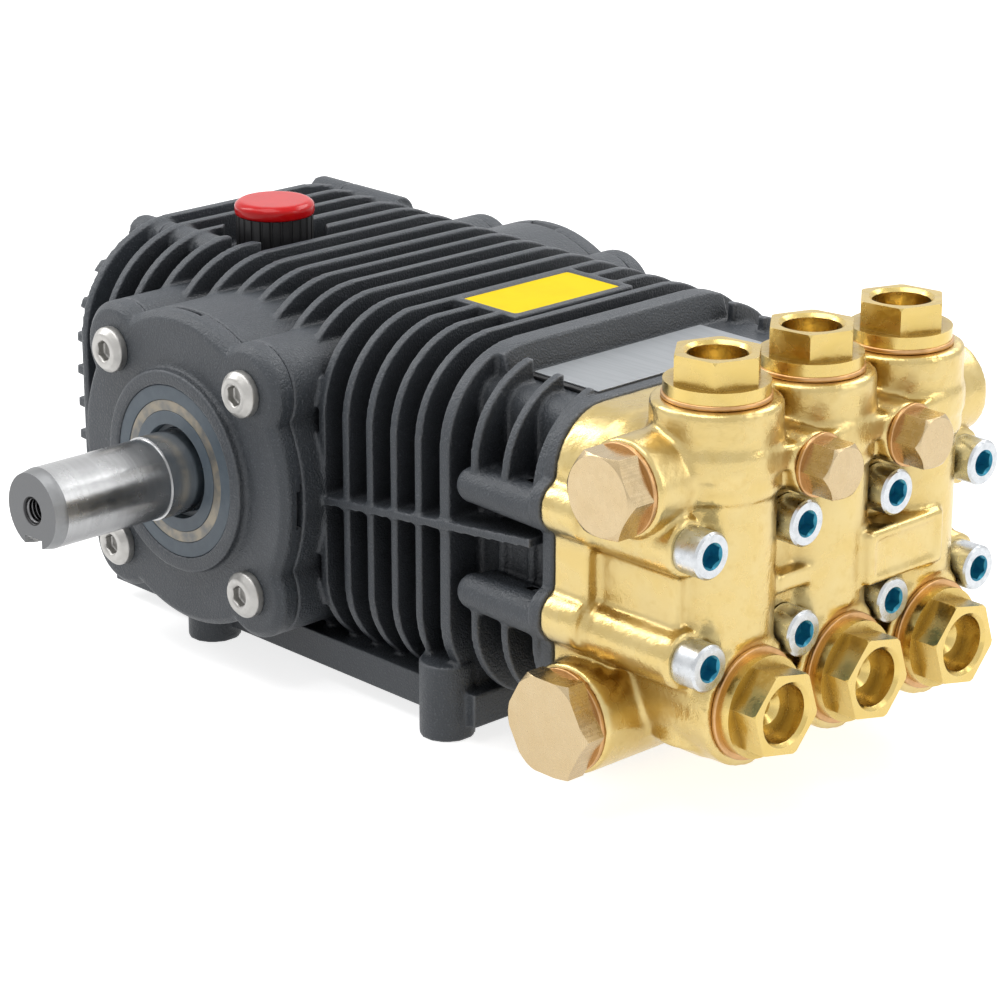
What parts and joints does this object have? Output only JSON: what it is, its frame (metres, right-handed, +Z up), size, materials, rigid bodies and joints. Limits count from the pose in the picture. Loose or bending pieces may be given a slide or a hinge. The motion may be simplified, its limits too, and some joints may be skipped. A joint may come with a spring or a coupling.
{
  "type": "triplex plunger pump",
  "caption": "High-pressure triplex plunger pump with a finned crankcase, a keyed drive shaft and a forged brass manifold with valve caps.",
  "frame": {"origin": "middle of the four feet, on the ground plane", "axes": "+Z up, +X from the crankcase towards the brass manifold, the drive shaft points along -Y"},
  "size_m": [0.2873, 0.2117, 0.1275],
  "materials": {
    "cast_charcoal": "textured charcoal paint on cast aluminium",
    "forged_brass": "satin forged brass",
    "machined_brass": "machined brass",
    "copper": "copper washer",
    "zinc_steel": "zinc plated",
    "ground_steel": "ground steel",
    "seal_rubber": "blue-grey seal rubber",
    "seal_ring": "dull tan metal",
    "black_plastic": "matt black",
    "red_plastic": "glossy red",
    "yellow_film": "glossy yellow film",
    "silver_film": "satin silver film",
    "oil_window": "amber sight window"
  },
  "bodies": {
    "pump": {"crankcase": "cast_charcoal", "rear_cover": "cast_charcoal", "rear_cover_bolts": "zinc_steel", "oil_sight_glass": "oil_window", "oil_drain_plug": "zinc_steel", "drive_side_cover": "cast_charcoal", "far_side_cover": "cast_charcoal", "drive_side_cover_bolts": "zinc_steel", "far_side_cover_bolts": "zinc_steel", "shaft_seal": "seal_rubber", "shaft_seal_ring": "seal_ring", "filler_cap_body": "black_plastic", "filler_cap_top": "red_plastic", "series_plate": "yellow_film", "name_plate_base": "black_plastic", "name_plate": "silver_film", "manifold": "forged_brass", "delivery_cap_1": "forged_brass", "delivery_cap_2": "forged_brass", "delivery_cap_3": "forged_brass", "delivery_washer_1": "copper", "delivery_washer_2": "copper", "delivery_washer_3": "copper", "suction_cap_1": "forged_brass", "suction_cap_2": "forged_brass", "suction_cap_3": "forged_brass", "suction_washer_1": "copper", "suction_washer_2": "copper", "suction_washer_3": "copper", "upper_manifold_screws": "zinc_steel", "lower_manifold_screws": "zinc_steel", "outlet_plug": "machined_brass", "outlet_plug_washer": "copper", "inlet_plug": "machined_brass", "inlet_plug_washer": "copper", "gauge_plug_1": "machined_brass", "gauge_plug_2": "machined_brass", "gauge_washer_1": "copper", "gauge_washer_2": "copper"},
    "crankshaft": {"drive_shaft": "ground_steel"}
  },
  "joints": [
    {"name": "shaft_spin", "type": "hinge", "parent": "pump", "child": "crankshaft", "pos_m": [-0.0405, 0, 0.0605], "axis": [0, 1, 0], "continuous": true}
  ]
}
